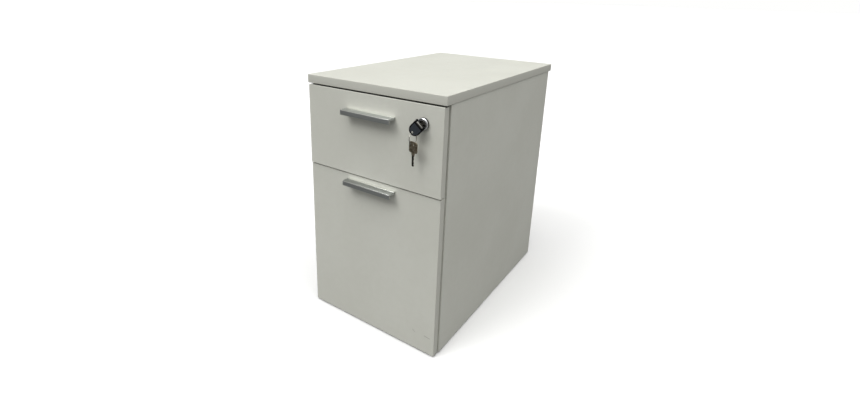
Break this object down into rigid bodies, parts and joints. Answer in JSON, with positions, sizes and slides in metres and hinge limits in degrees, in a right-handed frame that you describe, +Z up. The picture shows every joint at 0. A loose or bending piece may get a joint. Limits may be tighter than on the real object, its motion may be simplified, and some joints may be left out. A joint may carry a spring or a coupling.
{
  "type": "drawer pedestal cabinet",
  "caption": "Pedestal filing cabinet in white melamine-faced board: a box drawer over a filing drawer, bar handles, and a lock with its keys.",
  "frame": {"origin": "centre of the footprint, keys included, on the floor", "axes": "+Z up, the drawers open towards -Y, +X to the right as seen from the front"},
  "size_m": [0.4, 0.6694, 0.6505],
  "materials": {
    "board": "satin white melamine face and edge banding over particle board",
    "drawer_board": "plain white melamine board, inside",
    "zinc": "bright zinc plated steel",
    "satin_aluminium": "satin brushed anodised aluminium",
    "chrome": "polished chrome",
    "nickel": "nickel plate",
    "bronze_nickel": "dull nickel plated brass",
    "black_plastic": "black moulded plastic",
    "grey_plastic": "grey moulded plastic"
  },
  "bodies": {
    "carcass": {"top_panel": "board", "left_side_panel": "board", "right_side_panel": "board", "back_panel": "board", "bottom_panel": "board", "front_rail": "board", "glide_front_left": "grey_plastic", "glide_front_right": "grey_plastic", "glide_back_left": "grey_plastic", "glide_back_right": "grey_plastic", "top_bracket_front_left": "zinc", "top_bracket_front_right": "zinc", "top_bracket_back_left": "zinc", "top_bracket_back_right": "zinc", "upper_cabinet_member_left": "zinc", "upper_cabinet_member_right": "zinc", "lower_cabinet_member_left": "zinc", "lower_cabinet_member_right": "zinc", "lock_bar_guide_upper": "grey_plastic", "lock_bar_guide_lower": "grey_plastic"},
    "upper_middle_members": {"upper_middle_member_left": "zinc", "upper_middle_member_right": "zinc"},
    "lower_middle_members": {"lower_middle_member_left": "zinc", "lower_middle_member_right": "zinc"},
    "upper_drawer": {"upper_front": "board", "upper_drawer_side_left": "drawer_board", "upper_drawer_side_right": "drawer_board", "upper_drawer_back": "drawer_board", "upper_drawer_base": "drawer_board", "upper_drawer_member_left": "zinc", "upper_drawer_member_right": "zinc", "upper_handle": "satin_aluminium", "upper_handle_screw_left": "zinc", "upper_handle_screw_right": "zinc", "lock_barrel": "chrome", "lock_nut": "zinc", "upper_catch": "zinc"},
    "lower_drawer": {"lower_front": "board", "lower_drawer_side_left": "drawer_board", "lower_drawer_side_right": "drawer_board", "lower_drawer_back": "drawer_board", "lower_drawer_base": "drawer_board", "lower_drawer_member_left": "zinc", "lower_drawer_member_right": "zinc", "lower_handle": "satin_aluminium", "lower_handle_screw_left": "zinc", "lower_handle_screw_right": "zinc", "file_rail_front": "zinc", "file_rail_back": "zinc", "lower_catch": "zinc"},
    "lock_plug": {"lock_plug": "nickel", "lock_prong": "zinc", "key_blade": "nickel"},
    "key_head": {"key_head": "black_plastic", "key_fold_pin": "nickel"},
    "key_ring": {"key_ring": "nickel"},
    "spare_key": {"spare_key": "bronze_nickel"},
    "lock_bar": {"lock_bar": "zinc", "lock_bar_actuator": "zinc"}
  },
  "joints": [
    {"name": "upper_drawer_slide", "type": "slide", "parent": "carcass", "child": "upper_drawer", "axis": [0, -1, 0], "range_m": [-0.003, 0.517]},
    {"name": "upper_middle_slide", "type": "slide", "parent": "carcass", "child": "upper_middle_members", "axis": [0, -1, 0], "range_m": [-0.0015, 0.2585]},
    {"name": "lower_drawer_slide", "type": "slide", "parent": "carcass", "child": "lower_drawer", "axis": [0, -1, 0], "range_m": [0, 0.52]},
    {"name": "lower_middle_slide", "type": "slide", "parent": "carcass", "child": "lower_middle_members", "axis": [0, -1, 0], "range_m": [0, 0.26]},
    {"name": "lock_turn", "type": "hinge", "parent": "upper_drawer", "child": "lock_plug", "pos_m": [0.147, -0.29931, 0.585], "axis": [0, -1, 0], "range_deg": [0, 90]},
    {"name": "lock_bar_lift", "type": "slide", "parent": "carcass", "child": "lock_bar", "axis": [0, 0, 1], "range_m": [0, 0.0099]},
    {"name": "key_fold", "type": "hinge", "parent": "lock_plug", "child": "key_head", "pos_m": [0.147, -0.31651, 0.585], "axis": [0.7547, 0, -0.6561], "range_deg": [-80, 8]},
    {"name": "key_ring_swing", "type": "hinge", "parent": "key_head", "child": "key_ring", "pos_m": [0.13182, -0.32059, 0.56753], "axis": [0, 1, 0], "range_deg": [-20, 20]},
    {"name": "spare_key_swing", "type": "hinge", "parent": "key_ring", "child": "spare_key", "pos_m": [0.13558, -0.32059, 0.5408], "axis": [0, 1, 0], "range_deg": [-30, 30]}
  ],
  "couplings": [
    {"joint": "upper_middle_slide", "follows": "upper_drawer_slide", "ratio": 0.5},
    {"joint": "lower_middle_slide", "follows": "lower_drawer_slide", "ratio": 0.5},
    {"joint": "lock_turn", "follows": "lock_bar_lift", "rad_per_m": 158.66}
  ]
}
